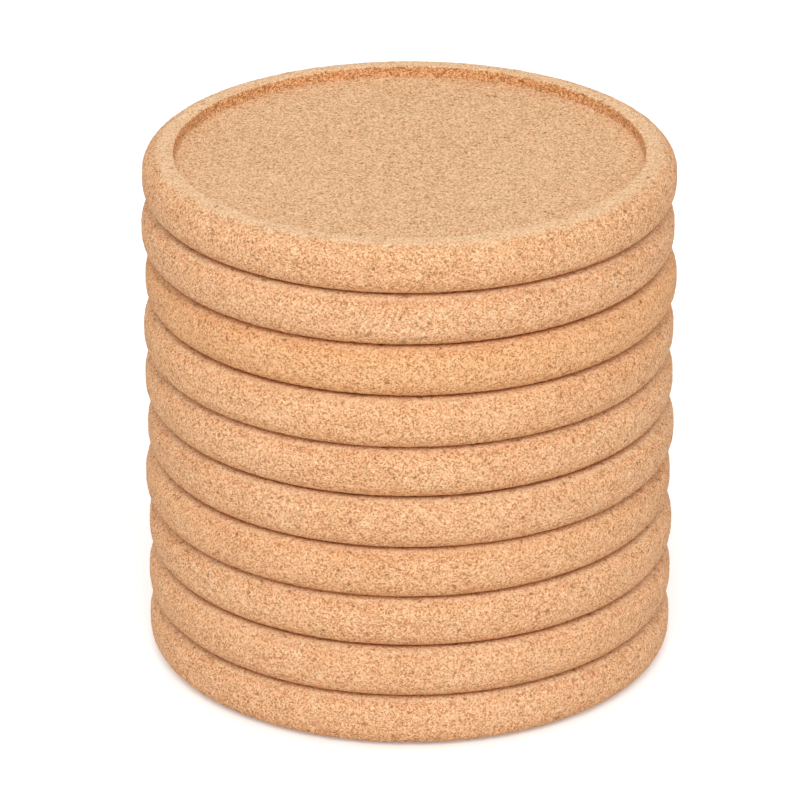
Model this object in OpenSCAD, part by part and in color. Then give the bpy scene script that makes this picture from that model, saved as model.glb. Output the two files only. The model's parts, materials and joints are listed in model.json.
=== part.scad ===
// A stack of round cork coasters, each one turned disc with a raised rim around a shallow recess.
// Millimetres, +Z up. The origin is the centre of the bottom coaster's underside.

/* [Coaster] */
// Outer diameter of one coaster
coaster_d = 100; // [80:1:130]
// Thickness of one coaster, from its underside to the top of its rim
coaster_h = 10; // [9:0.5:16]
// Radius of the lower outer edge
base_round = 4.6; // [1:0.1:5]
// Radius of the upper outer edge
top_round = 3.7; // [1:0.1:5]

/* [Recess] */
// Width of the raised rim, from the outer edge to the recess wall
rim_w = 6; // [4.5:0.1:12]
// Depth of the recess below the top of the rim
recess_depth = 2.2; // [1.2:0.1:6]
// Radius of the eased inner edge of the rim
rim_ease = 0.3; // [0.1:0.1:0.7]
// Radius of the fillet between the recess wall and its floor
floor_fillet = 0.4; // [0.1:0.1:0.5]

/* [Stack] */
// Number of coasters in the stack
coaster_count = 10; // [1:1:30]
// Air that the uneven cork leaves between two coasters
stack_gap = 0.06; // [0.02:0.02:0.5]
// How far a coaster sits off the centre of the stack, as hands leave it
stagger = 0.3; // [0:0.1:1]

/* [Hidden] */
$fn = 180;
// Overshoot of a cut past the face that it opens
past = 1;
// Turn from one coaster's offset to the next, so that no two neighbours lean the same way
stagger_turn = 137.5;
coaster_r = coaster_d / 2;
recess_r = coaster_r - rim_w;
recess_floor_z = coaster_h - recess_depth;
coaster_pitch = coaster_h + stack_gap;

// Offset of a coaster from the stack's axis. The bottom and the top one lie on it.
function seat_offset(level) =
    level == 1 || level == coaster_count
        ? [0, 0]
        : stagger * [cos(level * stagger_turn), sin(level * stagger_turn)];

// Half section of the disc before the recess is turned out, with both outer edges round
module disc_section() {
    square([coaster_r - base_round, coaster_h - top_round]);
    translate([0, base_round])
        square([coaster_r - top_round, coaster_h - base_round]);
    translate([0, base_round])
        square([coaster_r, coaster_h - base_round - top_round]);
    translate([coaster_r - base_round, base_round])
        circle(base_round);
    translate([coaster_r - top_round, coaster_h - top_round])
        circle(top_round);
}

// Half section of the recess: a straight wall with a fillet at the floor
module recess_section() {
    translate([0, recess_floor_z])
        square([recess_r - floor_fillet, recess_depth + past]);
    translate([0, recess_floor_z + floor_fillet])
        square([recess_r, recess_depth - floor_fillet + past]);
    translate([recess_r - floor_fillet, recess_floor_z + floor_fillet])
        circle(floor_fillet);
}

// Half section of what is taken off the rim's inner edge to ease it
module rim_ease_section() {
    difference() {
        translate([recess_r - past, coaster_h - rim_ease])
            square([rim_ease + past, rim_ease + past]);
        translate([recess_r + rim_ease, coaster_h - rim_ease])
            circle(rim_ease);
    }
}

// One coaster, turned in one piece from pressed cork
module coaster(level) {
    color("burlywood")
        translate([seat_offset(level).x, seat_offset(level).y, (level - 1) * coaster_pitch])
            rotate_extrude()
                difference() {
                    disc_section();
                    recess_section();
                    rim_ease_section();
                }
}

for (level = [1 : coaster_count])
    coaster(level);
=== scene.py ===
"""Looks for a stack of cork coasters: the turned discs, their pressed cork, the stage and the camera.

The file is laid out as an add-on and run as a script. Sizes are in metres, in the frame of the part,
unless the comment above them says otherwise.
"""

import json
import math

import bpy
import numpy as np
from mathutils import Matrix, Vector


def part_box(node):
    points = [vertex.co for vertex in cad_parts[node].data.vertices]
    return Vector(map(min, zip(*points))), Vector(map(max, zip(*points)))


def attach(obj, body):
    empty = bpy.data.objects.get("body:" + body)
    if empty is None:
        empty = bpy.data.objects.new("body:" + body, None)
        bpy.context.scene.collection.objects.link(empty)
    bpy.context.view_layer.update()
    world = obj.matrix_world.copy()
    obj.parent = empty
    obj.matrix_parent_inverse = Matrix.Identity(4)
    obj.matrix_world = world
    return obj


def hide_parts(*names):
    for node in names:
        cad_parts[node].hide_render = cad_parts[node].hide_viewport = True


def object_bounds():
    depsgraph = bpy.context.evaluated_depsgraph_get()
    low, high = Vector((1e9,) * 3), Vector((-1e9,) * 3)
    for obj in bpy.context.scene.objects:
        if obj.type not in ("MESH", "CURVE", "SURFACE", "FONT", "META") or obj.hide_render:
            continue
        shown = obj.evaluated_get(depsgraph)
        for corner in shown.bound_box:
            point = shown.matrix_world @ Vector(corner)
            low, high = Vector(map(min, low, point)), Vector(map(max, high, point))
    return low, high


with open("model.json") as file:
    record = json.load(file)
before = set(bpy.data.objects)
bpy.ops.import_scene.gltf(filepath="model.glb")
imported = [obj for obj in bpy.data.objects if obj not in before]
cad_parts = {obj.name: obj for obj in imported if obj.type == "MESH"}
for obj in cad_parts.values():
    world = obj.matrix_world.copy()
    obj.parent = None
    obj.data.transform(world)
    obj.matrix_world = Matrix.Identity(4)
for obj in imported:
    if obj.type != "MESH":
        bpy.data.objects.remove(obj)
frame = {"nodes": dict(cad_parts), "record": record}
CAD_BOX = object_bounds()

bl_info = {
    "name": "Cork Coasters",
    "version": (1, 0, 0),
    "blender": (4, 5, 0),
    "location": "3D View > Sidebar > Coasters",
    "description": "Dresses a stack of turned cork coasters and sets the stage for them",
    "category": "Object",
}

MM = 0.001
COASTERS = sorted(frame["nodes"])
TOP_LOW, TOP_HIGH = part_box(COASTERS[-1])
MOUNTS = {mount["name"]: mount for mount in frame["record"]["mounts"]}
GLASS_SEAT_Z = MOUNTS["glass_seat"]["pos_m"][2]
RECESS_RADIUS = MOUNTS["glass_recess"]["dims"]["r_mm"] * MM
WHITE = (1.0, 1.0, 1.0, 1.0)
# Zones of a coaster's surface: x is how much a point is wall or lower round, y rim, z floor. x also
# carries painted shade on the lower round above each seam, and y, on the coasters below the top one,
# painted light on the shoulder below each seam
FINISH = "finish"
# Shade of a coaster's cork: x is how dark, y how orange, z how far the pale sanded colour reaches down
# the shoulder, which on the coasters below the top one is painted light making up for the shade under the
# coaster above
BATCH = "batch"
# How deep a point lies in a torn pit, 0 where there is none
HOLLOW = "hollow"

# Fewest steps along a round of the outline, and fewest vertices of a ring
ROUND_STEPS = 3
RING_SIDES = 6
# How fast the finish of the wall, there painted shade above each seam, comes up along the lower round,
# and from where and how fast it fades
BASE_SHADE_RISE = 3.0
BASE_SHADE_TOP = 1.35
BASE_SHADE_FADE = 1.55
# How far up the upper round the sanding starts; on the coasters below the top one its pale colour there
# is painted light
CROWN_START = 0.5

# Size in millimetres of the drift that bends the grain, and its reach along x, y and z
DRIFT_SIZE = 1.3
DRIFT_REACH = (0.9, 0.9, 0.75)
# Size of each pattern in the cork, in granules
SIZES = {"crumb": 0.22, "fine": 0.36, "knot": 0.5, "dot": 0.6, "curl": 0.7, "speck": 2.3, "flake": 3.1,
         "patch": 4.5, "broad": 17.0}
# Range of its pattern over which each mark fades
FADE = {"groove": (0.0, 0.16), "pit": (0.07, 0.24), "flake": (0.15, 0.3), "speck": (0.09, 0.17),
        "dot": (0.18, 0.34), "gap": (0.03, 0.11), "crack": (0.0, 0.0016), "grain": (0.45, 1.0)}
# Range of the fine noise over which cracks end, and over which gaps open
CRACKS_END = (0.36, 0.5)
GAPS_OPEN = (0.5, 0.65)
# Share of the cells of a pattern that stay without its mark
EMPTY = {"pit": 0.5, "flake": 0.65, "speck": 0.35, "dot": 0.5}
# How far the fine noise frays the edge of a mark
RAGGED = {"flake": 0.4, "speck": 0.3}
# How far patches of the cork gather the dots, and the depth of the shallowest dot
DOT_GATHER = 0.9
DOT_SHALLOW = 0.3
# How much of the relief the sanding takes off, and how much deeper the wall is torn
SANDED_OFF = {"floor": 0.6, "rim": 0.35}
WALL_TORN = 0.5
# Contrast that the cut through the granules adds on the floor and on the wall; on the lower round, which
# shares the wall's weight, the extra pores are painted shade
ROUGH = {"floor": 0.1, "wall": 0.7}
# How far each pattern sways the tone of the cork, and the sway that makes it all dark or all pale
SWAY = {"glint": 0.98, "knot": 0.16, "shade": 0.15, "patch": 0.46, "broad": 0.4}
SWAY_SPAN = 0.6
# Where up the rim the sanding starts and is whole, how much lower on the coasters below the top one,
# where the extra reach is painted light, and how far each pattern frays its edge
CREST_START, CREST_WHOLE = 0.2, 1.0
LIGHT_REACH_START, LIGHT_REACH_WHOLE = 0.2, 0.55
CREST_FRAY = {"patch": 0.9, "shade": 0.6}
CREST_EDGE = (0.0, 0.2)
# How far each kind of opening tints the cork as a pore, and how many pores the sanding fills, also where
# it is painted light
PORES = {"grains": 0.98, "dots": 0.72, "cracks": 0.5, "gaps": 0.4}
PORES_FILLED = 0.25
# How much of the colour below it each mark covers. The sanded mark is partly painted light; the wall mark
# and the wall dots are painted shade on the lower round and partly on the recess wall, and the hollow and
# foot marks are painted shade.
COVER = {"flakes": 0.65, "sanded": 0.6, "floor": 0.33, "wall": 0.38, "orange": 0.5, "specks": 0.72,
         "hollow": 0.35, "wall_dots": 0.6, "foot": 0.9, "dark": 0.12}
# Finest relief, left to the shading: its depth, and how far the curls raise and the dots lower it
BUMP_DEPTH = 0.25 * MM
BUMP = {"curl": 1.6, "dots": 0.25}
# Roughness of the cork, how far it varies, and the strength of its sheen
MATT = 0.84
MATT_RANGE = 0.1
SHEEN = 0.25

# Height in the sky over which the light from all around turns into the light from above
SKY_RISE = (0.5, 0.85)
# Width of the camera's sensor in millimetres, and the nearest distance that it sees
SENSOR_WIDTH = 36.0
NEAREST = 0.01


class CoasterShape(bpy.types.PropertyGroup):
    """Sizes of one turned coaster."""

    diameter: bpy.props.FloatProperty(
        name="Diameter", description="Across the round edge",
        default=TOP_HIGH.x - TOP_LOW.x, unit="LENGTH", precision=4)
    thickness: bpy.props.FloatProperty(
        name="Thickness", description="From the underside to the top of the rim",
        default=TOP_HIGH.z - TOP_LOW.z, unit="LENGTH", precision=4)
    base_round: bpy.props.FloatProperty(
        name="Lower Round", description="Radius of the lower outer edge",
        default=4.6 * MM, unit="LENGTH", precision=4)
    top_round: bpy.props.FloatProperty(
        name="Upper Round", description="Radius of the upper outer edge",
        default=3.7 * MM, unit="LENGTH", precision=4)
    recess_radius: bpy.props.FloatProperty(
        name="Recess Radius", description="From the middle to the recess wall",
        default=RECESS_RADIUS, unit="LENGTH", precision=4)
    recess_depth: bpy.props.FloatProperty(
        name="Recess Depth", description="From the top of the rim to the floor of the recess",
        default=TOP_HIGH.z - GLASS_SEAT_Z, unit="LENGTH", precision=4)
    rim_ease: bpy.props.FloatProperty(
        name="Rim Ease", description="Radius of the rim's inner edge",
        default=0.3 * MM, unit="LENGTH", precision=4)
    floor_fillet: bpy.props.FloatProperty(
        name="Floor Fillet", description="Radius where the wall meets the floor of the recess",
        default=0.4 * MM, unit="LENGTH", precision=4)
    edge_step: bpy.props.FloatProperty(
        name="Edge Mesh", description="Spacing of the mesh on the edge, the rim and the wall",
        default=0.34 * MM, unit="LENGTH", precision=5)
    floor_step: bpy.props.FloatProperty(
        name="Floor Mesh", description="Spacing of the mesh on the floor of the recess",
        default=0.5 * MM, unit="LENGTH", precision=5)
    under_step: bpy.props.FloatProperty(
        name="Underside Mesh", description="Spacing of the mesh on the underside",
        default=0.8 * MM, unit="LENGTH", precision=5)


class CorkFinish(bpy.types.PropertyGroup):
    """Grain and colours of the pressed cork."""

    chip_size: bpy.props.FloatProperty(
        name="Granule", description="Across one granule of cork",
        default=1.05 * MM, unit="LENGTH", precision=5)
    chip_step: bpy.props.FloatProperty(
        name="Granule Relief", description="How far granules lie below one another",
        default=0.08 * MM, unit="LENGTH", precision=6)
    groove_depth: bpy.props.FloatProperty(
        name="Groove", description="Depth of the gaps between granules",
        default=0.06 * MM, unit="LENGTH", precision=6)
    pit_spacing: bpy.props.FloatProperty(
        name="Pit Spacing", description="Distance between places where a granule may have torn out",
        default=3.2 * MM, unit="LENGTH", precision=5)
    pit_depth: bpy.props.FloatProperty(
        name="Pit Depth", description="Depth of the hollow that a torn granule leaves",
        default=0.28 * MM, unit="LENGTH", precision=6)
    batch_seed: bpy.props.IntProperty(
        name="Batch Seed", description="Picks the shade of each coaster", default=36834)
    tan: bpy.props.FloatVectorProperty(
        name="Tan", description="Colour of most granules", subtype="COLOR",
        default=(0.98, 0.555, 0.31), min=0, max=1)
    dark: bpy.props.FloatVectorProperty(
        name="Dark Granules", description="Colour of the darkest granules", subtype="COLOR",
        default=(0.71, 0.37, 0.175), min=0, max=1)
    pale: bpy.props.FloatVectorProperty(
        name="Pale Granules", description="Colour of the palest granules", subtype="COLOR",
        default=(1.0, 0.70, 0.43), min=0, max=1)
    # This pale colour is sanding wear on the rim and, on the shoulders of the coasters below the top one,
    # painted light
    wear_and_painted_light: bpy.props.FloatVectorProperty(
        name="Sanded", description="Colour of the sanded rim and, thinly, of the recess floor",
        subtype="COLOR", default=(1.0, 0.74, 0.475), min=0, max=1)
    pore: bpy.props.FloatVectorProperty(
        name="Pores", description="How the open pores tint the cork around them", subtype="COLOR",
        default=(0.49, 0.365, 0.235), min=0, max=1)
    # On the lower round this tint is painted shade above each seam; on the recess wall it is partly the
    # raw cut colour, partly painted shade
    ochre_and_shade: bpy.props.FloatVectorProperty(
        name="Ochre", description="Tint of the recess wall, the lower round and the more orange batches",
        subtype="COLOR", default=(0.90, 0.465, 0.19), min=0, max=1)
    # Besides bark specks, this colour paints shade into the torn pits, at the foot of the recess wall and
    # in dots along the wall and the lower round
    bark_and_shade: bpy.props.FloatVectorProperty(
        name="Bark", description="Colour of bark specks and deep gaps", subtype="COLOR",
        default=(0.24, 0.10, 0.035), min=0, max=1)


class CoasterStage(bpy.types.PropertyGroup):
    """Floor, light and camera."""

    floor_size: bpy.props.FloatProperty(
        name="Floor", description="Side of the square floor", default=6.0, unit="LENGTH")
    floor_drop: bpy.props.FloatProperty(
        name="Floor Drop", description="How far the floor lies below the underside",
        default=0.1 * MM, unit="LENGTH", precision=5)
    floor_tone: bpy.props.FloatProperty(
        name="Floor Tone", description="How much light the floor gives back", default=0.9)
    floor_glow: bpy.props.FloatProperty(
        name="Floor Glow", description="Light added to the floor as the camera sees it", default=0.3)
    sky: bpy.props.FloatProperty(
        name="Wall Light", description="Strength of the even light from all around", default=0.6)
    zenith: bpy.props.FloatProperty(
        name="Ceiling Light", description="Strength of the even light from above", default=0.78)
    key: bpy.props.FloatProperty(
        name="Key Light", description="Power of the soft lamp in front", default=19.6, unit="POWER")
    key_height: bpy.props.FloatProperty(
        name="Key Height", description="Angle of the lamp above the horizon",
        default=math.radians(43), subtype="ANGLE")
    key_distance: bpy.props.FloatProperty(
        name="Key Distance", description="From the lamp to the middle of the stack",
        default=2.0, unit="LENGTH")
    key_size: bpy.props.FloatProperty(
        name="Key Size", description="Across the round lamp", default=0.8, unit="LENGTH")
    view_height: bpy.props.FloatProperty(
        name="View Height", description="Angle of the camera above the horizon",
        default=math.radians(23.68), subtype="ANGLE")
    view_distance: bpy.props.FloatProperty(
        name="View Distance", description="From the camera to the point it aims at",
        default=1.088, unit="LENGTH")
    aim_height: bpy.props.FloatProperty(
        name="Aim Height", description="Height of the point that the camera aims at",
        default=0.0492, unit="LENGTH", precision=4)
    shift_x: bpy.props.FloatProperty(
        name="Shift Across", description="Sideways shift of the lens", default=-0.0119, precision=4)
    shift_y: bpy.props.FloatProperty(
        name="Shift Up", description="Upward shift of the lens", default=0.0006, precision=4)
    lens: bpy.props.FloatProperty(
        name="Lens", description="Focal length of the camera in millimetres", default=257.5)


class Wire:
    """An output of a node. Arithmetic on it adds Math nodes to its tree."""

    def __init__(self, board, socket):
        self.board = board
        self.socket = socket

    def _math(self, operation, first, second):
        return self.board.add("ShaderNodeMath", {"operation": operation}, {0: first, 1: second})

    def __add__(self, other):
        return self._math("ADD", self, other)

    def __radd__(self, other):
        return self._math("ADD", other, self)

    def __sub__(self, other):
        return self._math("SUBTRACT", self, other)

    def __rsub__(self, other):
        return self._math("SUBTRACT", other, self)

    def __mul__(self, other):
        return self._math("MULTIPLY", self, other)

    def __rmul__(self, other):
        return self._math("MULTIPLY", other, self)

    def __rtruediv__(self, other):
        return self._math("DIVIDE", other, self)

    def __gt__(self, other):
        return self._math("GREATER_THAN", self, other)

    def beside(self, output):
        """Another output of the same node."""
        return Wire(self.board, self.socket.node.outputs[output])

    def rise(self, low, high):
        """From 0 at low to 1 at high, eased at both ends."""
        return self.board.add("ShaderNodeMapRange", {"interpolation_type": "SMOOTHSTEP"},
                              {"Value": self, "From Min": low, "From Max": high})


class Board:
    """A node tree that nodes are added to, for a shader or for geometry."""

    def __init__(self, tree):
        self.tree = tree

    def add(self, kind, settings=None, sockets=None, output=0):
        """Adds a node: its settings first, then the values or links of its sockets."""
        node = self.tree.nodes.new(kind)
        for name, value in (settings or {}).items():
            setattr(node, name, value)
        for key, value in (sockets or {}).items():
            socket = self.socket(node, key)
            if isinstance(value, Wire):
                self.tree.links.new(value.socket, socket)
            else:
                socket.default_value = value
        return Wire(self, node.outputs[output]) if node.outputs else node

    def socket(self, node, key):
        """An input by its number, or the first one in use by its name."""
        if isinstance(key, int):
            return node.inputs[key]
        return next(found for found in node.inputs if found.name == key and found.enabled)

    def blend(self, factor, first, second, way="MIX"):
        """Two colours mixed."""
        mixed = self.add("ShaderNodeMix", {"data_type": "RGBA", "blend_type": way},
                         {"Factor": factor, "A": first, "B": second})
        return Wire(self, next(out for out in mixed.socket.node.outputs if out.enabled))

    def parts(self, vector):
        """The x, y and z of a vector or a colour."""
        x = self.add("ShaderNodeSeparateXYZ", {}, {0: vector})
        return x, x.beside(1), x.beside(2)

    def noise(self, place, size, detail=2.0, output="Fac"):
        """Soft noise with features of the given size."""
        return self.add("ShaderNodeTexNoise", {},
                        {"Vector": place, "Scale": 1 / size, "Detail": detail}, output)

    def cells(self, place, size, feature="F1", output="Color"):
        """Irregular cells of the given size."""
        return self.add("ShaderNodeTexVoronoi", {"feature": feature},
                        {"Vector": place, "Scale": 1 / size}, output)


def rgba(colour):
    """A colour property as the four numbers that a socket takes."""
    return (*colour, 1.0)


def bent_grain(board, place):
    """Places in millimetres, bent a little so that granules lose their straight sides."""
    drift = board.noise(place, DRIFT_SIZE, 2.0, "Color")
    return board.add("ShaderNodeVectorMath", {"operation": "MULTIPLY_ADD"},
                     {0: drift, 1: DRIFT_REACH, 2: place})


def straight(start, end, step):
    """Points of a straight run of the outline."""
    count = max(1, round(math.dist(start, end) / step))
    return [(start[0] + (end[0] - start[0]) * k / count, start[1] + (end[1] - start[1]) * k / count)
            for k in range(count + 1)]


def bend(centre, radius, start, end, step):
    """Points of a round of the outline, from one angle to another in degrees."""
    count = max(ROUND_STEPS, round(radius * math.radians(abs(end - start)) / step))
    turns = [math.radians(start + (end - start) * k / count) for k in range(count + 1)]
    return [(centre[0] + radius * math.cos(a), centre[1] + radius * math.sin(a)) for a in turns]


def finish_weights(zone, along):
    """Weights of wall, rim and floor at a point part of the way along a zone of the outline."""
    # On the lower round the wall weight is painted shade above each seam; the crown's rim weight brings
    # the sanding there, painted light on the coasters below the top one
    base = max(0.0, min(BASE_SHADE_RISE * along, BASE_SHADE_TOP - BASE_SHADE_FADE * along))
    crown = max(0.0, (along - CROWN_START) / (1.0 - CROWN_START))
    wall = {"base": base, "lip": along, "wall": 1.0, "foot": 1.0 - along}.get(zone, 0.0)
    rim = {"crown": crown, "rim": 1.0, "lip": 1.0 - along}.get(zone, 0.0)
    floor = {"foot": along, "floor": 1.0}.get(zone, 0.0)
    return wall, rim, floor


def outline(shape):
    """Half section of a coaster from the middle of its underside to the middle of its recess.

    Each row is a radius, a height, the mesh spacing there, and the weights of wall, rim and floor.
    """
    radius = shape.diameter / 2
    height = shape.thickness
    recess = shape.recess_radius
    floor_z = height - shape.recess_depth
    base, top, ease, fillet = shape.base_round, shape.top_round, shape.rim_ease, shape.floor_fillet
    edge, under, floor = shape.edge_step, shape.under_step, shape.floor_step
    runs = [
        ("under", under, straight((0, 0), (radius - base, 0), under)),
        ("base", edge, bend((radius - base, base), base, -90, 0, edge)),
        ("edge", edge, straight((radius, base), (radius, height - top), edge)),
        ("crown", edge, bend((radius - top, height - top), top, 0, 90, edge)),
        ("rim", edge, straight((radius - top, height), (recess + ease, height), edge)),
        ("lip", edge, bend((recess + ease, height - ease), ease, 90, 180, edge)),
        ("wall", edge, straight((recess, height - ease), (recess, floor_z + fillet), edge)),
        ("foot", edge, bend((recess - fillet, floor_z + fillet), fillet, 0, -90, edge)),
        ("floor", floor, straight((recess - fillet, floor_z), (0, floor_z), floor)),
    ]
    rows = []
    for zone, step, points in runs:
        for k, (r, z) in enumerate(points):
            if rows and k == 0:
                continue
            rows.append((r, z, step, *finish_weights(zone, k / (len(points) - 1))))
    return rows


def strip(low, high):
    """Triangles between two rings of vertices, given as their index numbers, lower ring first."""
    if len(low) == 1:
        return [(low[0], high[(j + 1) % len(high)], high[j]) for j in range(len(high))]
    if len(high) == 1:
        return [(low[i], low[(i + 1) % len(low)], high[0]) for i in range(len(low))]
    steps = sorted([((i + 1) / len(low), 0) for i in range(len(low))]
                   + [((j + 1) / len(high), 1) for j in range(len(high))])
    faces = []
    i = j = 0
    for _, ring in steps:
        if ring == 0:
            faces.append((low[i % len(low)], low[(i + 1) % len(low)], high[j % len(high)]))
            i += 1
        else:
            faces.append((low[i % len(low)], high[(j + 1) % len(high)], high[j % len(high)]))
            j += 1
    return faces


def turned_blank(shape):
    """Mesh of a coaster before its cork is broken up: rings of vertices around the outline."""
    places = []
    zones = []
    rings = []
    for r, z, step, wall, rim, floor in outline(shape):
        count = max(RING_SIDES, round(math.tau * r / step)) if r > step / 2 else 1
        rings.append(range(len(places), len(places) + count))
        for k in range(count):
            angle = math.tau * k / count
            places.append((r * math.cos(angle), r * math.sin(angle), z))
            zones.append((wall, rim, floor))
    faces = []
    for low, high in zip(rings, rings[1:]):
        faces.extend(strip(low, high))
    mesh = bpy.data.meshes.new("coaster_blank")
    mesh.from_pydata(places, [], faces)
    finish = mesh.attributes.new(FINISH, "FLOAT_VECTOR", "POINT")
    finish.data.foreach_set("vector", np.array(zones, np.float32).ravel())
    mesh.validate()
    mesh.update()
    return mesh


def granule_relief():
    """Geometry nodes that seat a blank in the stack and break up its surface as pressed cork."""
    tree = bpy.data.node_groups.new("granule_relief", "GeometryNodeTree")
    made = tree.interface.new_socket
    made("Geometry", in_out="INPUT", socket_type="NodeSocketGeometry")
    for name, kind in (("Blank", "Object"), ("Seat", "Vector"), ("Turn", "Vector"), ("Batch", "Vector"),
                       ("Granule", "Float"), ("Granule Relief", "Float"), ("Groove", "Float"),
                       ("Pit Spacing", "Float"), ("Pit Depth", "Float"), ("Material", "Material")):
        made(name, in_out="INPUT", socket_type="NodeSocket" + kind)
    made("Geometry", in_out="OUTPUT", socket_type="NodeSocketGeometry")
    board = Board(tree)
    given = board.add("NodeGroupInput")
    seat = board.add("GeometryNodePoints", {}, {"Position": given.beside("Seat")})
    blank = board.add("GeometryNodeObjectInfo", {"transform_space": "ORIGINAL"},
                      {"Object": given.beside("Blank")}, "Geometry")
    seated = board.add("GeometryNodeInstanceOnPoints", {},
                       {"Points": seat, "Instance": blank, "Rotation": given.beside("Turn")})
    coaster = board.add("GeometryNodeRealizeInstances", {}, {"Geometry": seated})

    metres = board.add("GeometryNodeInputPosition")
    grain = bent_grain(board, board.add("ShaderNodeVectorMath", {"operation": "SCALE"},
                                        {0: metres, "Scale": 1 / MM}))
    zones = board.add("GeometryNodeInputNamedAttribute", {"data_type": "FLOAT_VECTOR"}, {"Name": FINISH})
    wall, rim, floor = board.parts(zones)
    granule = given.beside("Granule") * (1 / MM)
    level, _, _ = board.parts(board.cells(grain, granule))
    groove = 1 - board.cells(grain, granule, "DISTANCE_TO_EDGE", "Distance").rise(*FADE["groove"])
    torn = board.cells(grain, given.beside("Pit Spacing") * (1 / MM), "F1", "Distance")
    chance, _, _ = board.parts(torn.beside("Color"))
    pit = (1 - torn.rise(*FADE["pit"])) * (chance > EMPTY["pit"])
    pit = pit * (1 - SANDED_OFF["floor"] * floor + WALL_TORN * wall)
    left = 1 - SANDED_OFF["floor"] * floor - SANDED_OFF["rim"] * rim
    relief = (level * given.beside("Granule Relief") + groove * given.beside("Groove")) * left
    depth = relief + pit * given.beside("Pit Depth")

    for name, kind, value in ((HOLLOW, "FLOAT", pit), (BATCH, "FLOAT_VECTOR", given.beside("Batch"))):
        coaster = board.add("GeometryNodeStoreNamedAttribute", {"data_type": kind, "domain": "POINT"},
                            {"Geometry": coaster, "Name": name, "Value": value})
    inward = board.add("ShaderNodeVectorMath", {"operation": "SCALE"},
                       {0: board.add("GeometryNodeInputNormal"), "Scale": depth * -1})
    coaster = board.add("GeometryNodeSetPosition", {}, {"Geometry": coaster, "Offset": inward})
    coaster = board.add("GeometryNodeSetShadeSmooth", {}, {"Geometry": coaster})
    coaster = board.add("GeometryNodeRealizeInstances", {}, {"Geometry": coaster})
    coaster = board.add("GeometryNodeSetMaterial", {},
                        {"Geometry": coaster, "Material": given.beside("Material")})
    board.add("NodeGroupOutput", {}, {"Geometry": coaster})
    return tree


def ragged_marks(board, grain, granule, fine, name):
    """Marks with frayed edges in some of the cells of a pattern."""
    near = board.cells(grain, SIZES[name] * granule, "F1", "Distance")
    chance, _, _ = board.parts(near.beside("Color"))
    return (1 - (near + RAGGED[name] * (fine - 0.5)).rise(*FADE[name])) * (chance > EMPTY[name])


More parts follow.
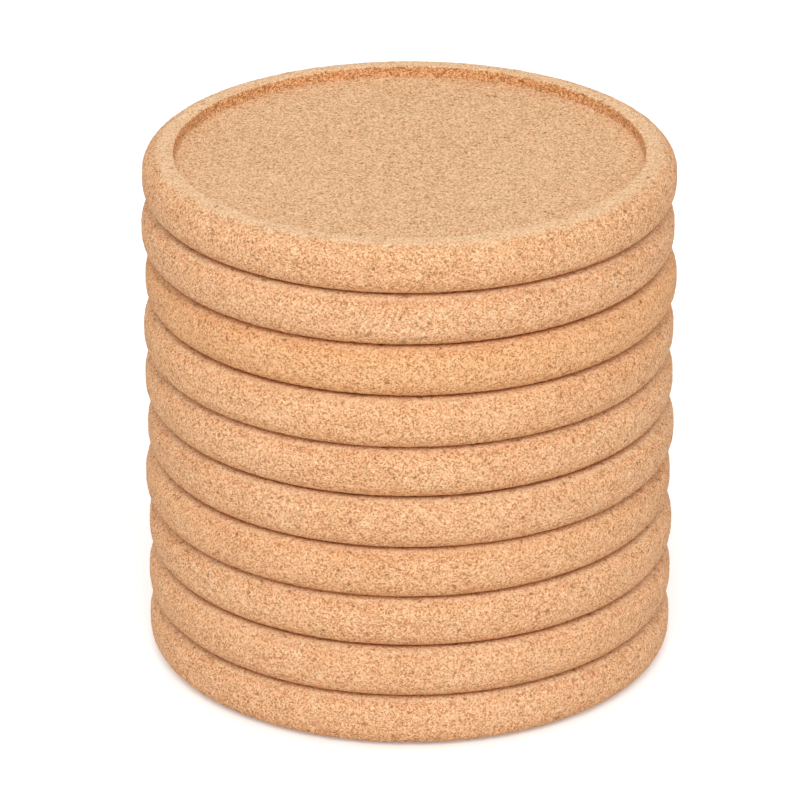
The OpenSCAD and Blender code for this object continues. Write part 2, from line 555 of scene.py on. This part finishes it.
def pressed_cork(look):
    """Material of every coaster: granules of several tones, bark specks and the marks of sanding, with
    painted light on the shoulders below the seams and painted shade in the pits, in the recess and on the
    lower rounds.
    """
    material = bpy.data.materials.new("pressed_cork")
    material.use_nodes = True
    material.node_tree.nodes.clear()
    board = Board(material.node_tree)
    tan, dark, pale, wear_and_painted_light, pore, ochre_and_shade, bark_and_shade = (
        rgba(colour) for colour in
        (look.tan, look.dark, look.pale, look.wear_and_painted_light, look.pore, look.ochre_and_shade, look.bark_and_shade))
    granule = look.chip_size / MM
    place = board.add("ShaderNodeVectorMath", {"operation": "SCALE"},
                      {0: board.add("ShaderNodeTexCoord", {}, {}, "Object"), "Scale": 1 / MM})
    grain = bent_grain(board, place)
    wall, rim, floor = board.parts(
        board.add("ShaderNodeAttribute", {"attribute_name": FINISH}, {}, "Vector"))
    dark_batch, orange_batch, painted_light_reach = board.parts(
        board.add("ShaderNodeAttribute", {"attribute_name": BATCH}, {}, "Vector"))
    hollow = board.add("ShaderNodeAttribute", {"attribute_name": HOLLOW}, {}, "Fac")

    shade, _, _ = board.parts(board.cells(grain, granule))
    gap = board.cells(grain, granule, "DISTANCE_TO_EDGE", "Distance")
    crumb, glint, _ = board.parts(board.cells(grain, SIZES["crumb"] * granule))
    knot, _, _ = board.parts(board.cells(grain, SIZES["knot"] * granule))
    fine = board.noise(grain, SIZES["fine"] * granule, 1.0)
    curl = board.noise(grain, SIZES["curl"] * granule, 1.0) - 0.5
    patch = board.noise(place, SIZES["patch"] * granule, 2.0)
    broad = board.noise(place, SIZES["broad"] * granule, 1.0)
    dot = board.cells(grain, SIZES["dot"] * granule, "F1", "Distance")
    dot_chance, dot_depth, _ = board.parts(dot.beside("Color"))
    specks = ragged_marks(board, grain, granule, fine, "speck")
    flakes = ragged_marks(board, grain, granule, fine, "flake")

    # The wall weight also raises the contrast and the pores of the lower round above each seam: painted
    # shade.
    rough = 1 + ROUGH["floor"] * floor + ROUGH["wall"] * wall
    tone = SWAY["glint"] * (glint - 0.5) + SWAY["knot"] * (knot - 0.5) + SWAY["shade"] * (shade - 0.5)
    tone = rough * tone + SWAY["patch"] * (patch - 0.5) + SWAY["broad"] * (broad - 0.5)
    colour = board.blend(1 - tone.rise(-SWAY_SPAN, 0.0), tan, dark)
    colour = board.blend(tone.rise(0.0, SWAY_SPAN), colour, pale)
    colour = board.blend(COVER["flakes"] * flakes, colour, pale)

    # Painted light: on the coasters below the top one the pale sanded colour reaches far down the
    # shoulder below each seam, to make up for the shade that the coaster above casts there; on the crest
    # it is sanding wear.
    crest = rim.rise(CREST_START - LIGHT_REACH_START * painted_light_reach, CREST_WHOLE - LIGHT_REACH_WHOLE * painted_light_reach)
    sanded = crest + CREST_FRAY["patch"] * (patch - 0.5) + CREST_FRAY["shade"] * (shade - 0.5)
    sanded = sanded.rise(0.0, 1.0) * crest.rise(*CREST_EDGE)
    colour = board.blend(COVER["sanded"] * sanded + COVER["floor"] * floor, colour, wear_and_painted_light)
    # Painted shade: the ochre tint darkens the lower round above each seam; on the recess wall it is
    # partly the raw cut colour, partly painted shade.
    colour = board.blend(COVER["wall"] * wall, colour, ochre_and_shade)
    colour = board.blend(COVER["orange"] * orange_batch * orange_batch, colour, ochre_and_shade)

    grains = crumb.rise(*FADE["grain"])
    dots = (1 - dot.rise(*FADE["dot"])) * (dot_chance + DOT_GATHER * (patch - 0.5) > EMPTY["dot"])
    dots = dots * (DOT_SHALLOW + (1 - DOT_SHALLOW) * dot_depth)
    cracks = (1 - (curl * curl).rise(*FADE["crack"])) * (1 - fine.rise(*CRACKS_END))
    gaps = (1 - gap.rise(*FADE["gap"])) * fine.rise(*GAPS_OPEN)
    pores = PORES["grains"] * grains + PORES["dots"] * dots
    pores = pores + PORES["cracks"] * cracks + PORES["gaps"] * gaps
    # Fewer pores under the sanded mark, which on the shoulders of the lower coasters is painted light.
    pores = rough * pores * (1 - PORES_FILLED * sanded)
    colour = board.blend(pores, colour, pore, "MULTIPLY")
    colour = board.blend(COVER["specks"] * specks, colour, bark_and_shade)
    # Painted shade: bark colour in the torn pits, and dark dots along the lower round and on the recess
    # wall.
    colour = board.blend(COVER["hollow"] * hollow + COVER["wall_dots"] * wall * dots, colour, bark_and_shade)
    # Painted shade: a dark line at the foot of the recess wall.
    colour = board.blend(COVER["foot"] * wall * floor, colour, bark_and_shade)
    colour = board.blend(COVER["dark"] * dark_batch, colour, dark)

    height = BUMP["curl"] * curl - BUMP["dots"] * dots
    bump = board.add("ShaderNodeBump", {}, {"Strength": 1.0, "Distance": BUMP_DEPTH, "Height": height})
    shader = board.add("ShaderNodeBsdfPrincipled", {},
                       {"Base Color": colour, "Roughness": MATT + MATT_RANGE * knot, "Normal": bump,
                        "Specular IOR Level": SHEEN})
    board.add("ShaderNodeOutputMaterial", {}, {"Surface": shader})
    return material


def inputs_by_name(modifier, values):
    """Sets the inputs of a geometry nodes modifier through the identifiers of their sockets."""
    for item in modifier.node_group.interface.items_tree:
        if item.item_type == "SOCKET" and item.in_out == "INPUT" and item.name in values:
            modifier[item.identifier] = values[item.name]


class CORK_OT_coasters(bpy.types.Operator):
    """Turns the coasters of the stack and gives them their pressed cork."""

    bl_idname = "cork.coasters"
    bl_label = "Make Coasters"

    def execute(self, context):
        scene = context.scene
        look = scene.cork_finish
        blank = bpy.data.objects.new("coaster_blank", turned_blank(scene.coaster_shape))
        scene.collection.objects.link(blank)
        tree = granule_relief()
        cork = pressed_cork(look)
        draw = np.random.default_rng(look.batch_seed)
        for node in COASTERS:
            low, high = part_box(node)
            turn = draw.uniform(0, math.tau)
            batch = draw.uniform(0, 1, 2)
            coaster = bpy.data.objects.new("cork_" + node, bpy.data.meshes.new("cork_" + node))
            scene.collection.objects.link(coaster)
            relief = coaster.modifiers.new("granule_relief", "NODES")
            relief.node_group = tree
            inputs_by_name(relief, {
                "Blank": blank,
                "Seat": ((low.x + high.x) / 2, (low.y + high.y) / 2, low.z),
                "Turn": (0.0, 0.0, turn),
                # The batch's z is 1 on every coaster below the top one, where the pale sanded colour
                # reaches down the shoulder as painted light.
                "Batch": (float(batch[0]), float(batch[1]), float(node != COASTERS[-1])),
                "Granule": look.chip_size,
                "Granule Relief": look.chip_step,
                "Groove": look.groove_depth,
                "Pit Spacing": look.pit_spacing,
                "Pit Depth": look.pit_depth,
                "Material": cork,
            })
            graph = context.evaluated_depsgraph_get()
            made = bpy.data.meshes.new_from_object(
                coaster.evaluated_get(graph), preserve_all_data_layers=True, depsgraph=graph)
            coaster.modifiers.clear()
            coaster.data = made
            if not made.polygons:
                raise RuntimeError("no mesh was made for " + node)
            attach(coaster, node)
            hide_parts(node)
        bpy.data.objects.remove(blank)
        return {"FINISHED"}


def seen_directly(board):
    """1 for rays that show a thing to the camera, straight or by a mirror or glass, and 0 for light."""
    path = board.add("ShaderNodeLightPath", {}, {}, "Is Camera Ray")
    direct = board.add("ShaderNodeMath", {"operation": "MAXIMUM"},
                       {0: path, 1: path.beside("Is Glossy Ray")})
    return board.add("ShaderNodeMath", {"operation": "MAXIMUM"},
                     {0: direct, 1: path.beside("Is Transmission Ray")})


def white_floor(stage):
    """Material of the floor: matt and pale, white to the camera where no shadow falls."""
    material = bpy.data.materials.new("pale_floor")
    material.use_nodes = True
    material.node_tree.nodes.clear()
    board = Board(material.node_tree)
    matt = board.add("ShaderNodeBsdfDiffuse", {}, {"Color": rgba([stage.floor_tone] * 3)})
    glow = board.add("ShaderNodeEmission", {},
                     {"Color": WHITE, "Strength": stage.floor_glow * seen_directly(board)})
    both = board.add("ShaderNodeAddShader", {}, {0: matt, 1: glow})
    board.add("ShaderNodeOutputMaterial", {}, {"Surface": both})
    return material


def aim(thing, target, height, distance):
    """Puts a lamp or a camera in front of a target, at an angle above the horizon, and turns it there."""
    thing.location = target + distance * Vector((0, -math.cos(height), math.sin(height)))
    thing.rotation_euler = (target - thing.location).to_track_quat("-Z", "Y").to_euler()


class CORK_OT_stage(bpy.types.Operator):
    """Lays the floor, sets the light and the camera."""

    bl_idname = "cork.stage"
    bl_label = "Set Stage"

    def execute(self, context):
        scene = context.scene
        stage = scene.coaster_stage
        low, high = CAD_BOX
        scene.view_settings.view_transform = "Standard"

        half = stage.floor_size / 2
        mesh = bpy.data.meshes.new("floor")
        mesh.from_pydata([(-half, -half, 0), (half, -half, 0), (half, half, 0), (-half, half, 0)], [],
                         [(0, 1, 2, 3)])
        mesh.transform(Matrix.Translation((0, 0, low.z - stage.floor_drop)))
        mesh.materials.append(white_floor(stage))
        floor = bpy.data.objects.new("floor", mesh)
        scene.collection.objects.link(floor)

        world = bpy.data.worlds.new("soft_sky")
        world.use_nodes = True
        world.node_tree.nodes.clear()
        board = Board(world.node_tree)
        _, _, climb = board.parts(board.add("ShaderNodeTexCoord", {}, {}, "Generated"))
        glow = stage.sky + (stage.zenith - stage.sky) * climb.rise(*SKY_RISE)
        shown = seen_directly(board)
        strength = glow * (1 - shown) + shown
        sky = board.add("ShaderNodeBackground", {}, {"Color": WHITE, "Strength": strength})
        board.add("ShaderNodeOutputWorld", {}, {"Surface": sky})
        scene.world = world

        lamp = bpy.data.lights.new("key", "AREA")
        lamp.shape = "DISK"
        lamp.size = stage.key_size
        lamp.energy = stage.key
        key = bpy.data.objects.new("key", lamp)
        aim(key, Vector((0, 0, (low.z + high.z) / 2)), stage.key_height, stage.key_distance)
        scene.collection.objects.link(key)

        lens = bpy.data.cameras.new("camera")
        lens.sensor_width = SENSOR_WIDTH
        lens.lens = stage.lens
        lens.shift_x = stage.shift_x
        lens.shift_y = stage.shift_y
        lens.clip_start = NEAREST
        camera = bpy.data.objects.new("camera", lens)
        aim(camera, Vector((0, 0, stage.aim_height)), stage.view_height, stage.view_distance)
        scene.collection.objects.link(camera)
        scene.camera = camera
        return {"FINISHED"}


class VIEW3D_PT_coasters(bpy.types.Panel):
    """Lists the steps and the sizes of the coasters."""

    bl_label = "Cork Coasters"
    bl_space_type = "VIEW_3D"
    bl_region_type = "UI"
    bl_category = "Coasters"

    def draw(self, context):
        for group, step in (("coaster_shape", None), ("cork_finish", CORK_OT_coasters),
                            ("coaster_stage", CORK_OT_stage)):
            values = getattr(context.scene, group)
            for name in values.bl_rna.properties.keys():
                if name not in ("rna_type", "name"):
                    self.layout.prop(values, name)
            if step:
                self.layout.operator(step.bl_idname)


CLASSES = (CoasterShape, CorkFinish, CoasterStage, CORK_OT_coasters, CORK_OT_stage, VIEW3D_PT_coasters)
GROUPS = {"coaster_shape": CoasterShape, "cork_finish": CorkFinish, "coaster_stage": CoasterStage}


def register():
    for kind in CLASSES:
        bpy.utils.register_class(kind)
    for name, group in GROUPS.items():
        setattr(bpy.types.Scene, name, bpy.props.PointerProperty(type=group))


def unregister():
    for name in GROUPS:
        delattr(bpy.types.Scene, name)
    for kind in reversed(CLASSES):
        bpy.utils.unregister_class(kind)


def main():
    register()
    bpy.ops.cork.coasters()
    bpy.ops.cork.stage()


if __name__ == "__main__":
    main()
